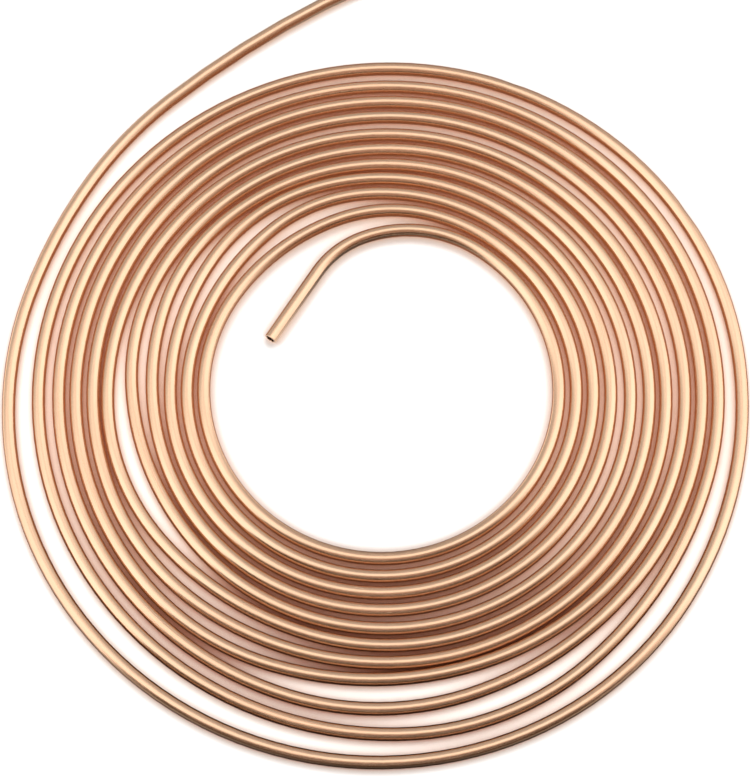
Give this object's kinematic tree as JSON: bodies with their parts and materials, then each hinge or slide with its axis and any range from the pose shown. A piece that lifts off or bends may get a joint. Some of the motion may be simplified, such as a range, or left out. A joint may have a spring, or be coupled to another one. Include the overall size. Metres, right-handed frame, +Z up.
{
  "type": "brake line coil",
  "caption": "Copper-coloured metal brake tube wound into a flat single-layer coil, with a short inner end bent into the eye and a sprung outer end that comes wide round the coil.",
  "frame": {"origin": "middle of the coil's eye, on the surface that the coil lies on", "axes": "+Z up along the coil's axis; +X to the right and +Y away from the viewer, with the outer end leaving the coil at its -X +Y side and coming round it on the +X side"},
  "size_m": [0.4786, 0.4101, 0.0048],
  "materials": {
    "copper_tube": "bright drawn copper-nickel tube"
  },
  "bodies": {
    "root": {"brake_tube": "copper_tube"}
  },
  "joints": []
}
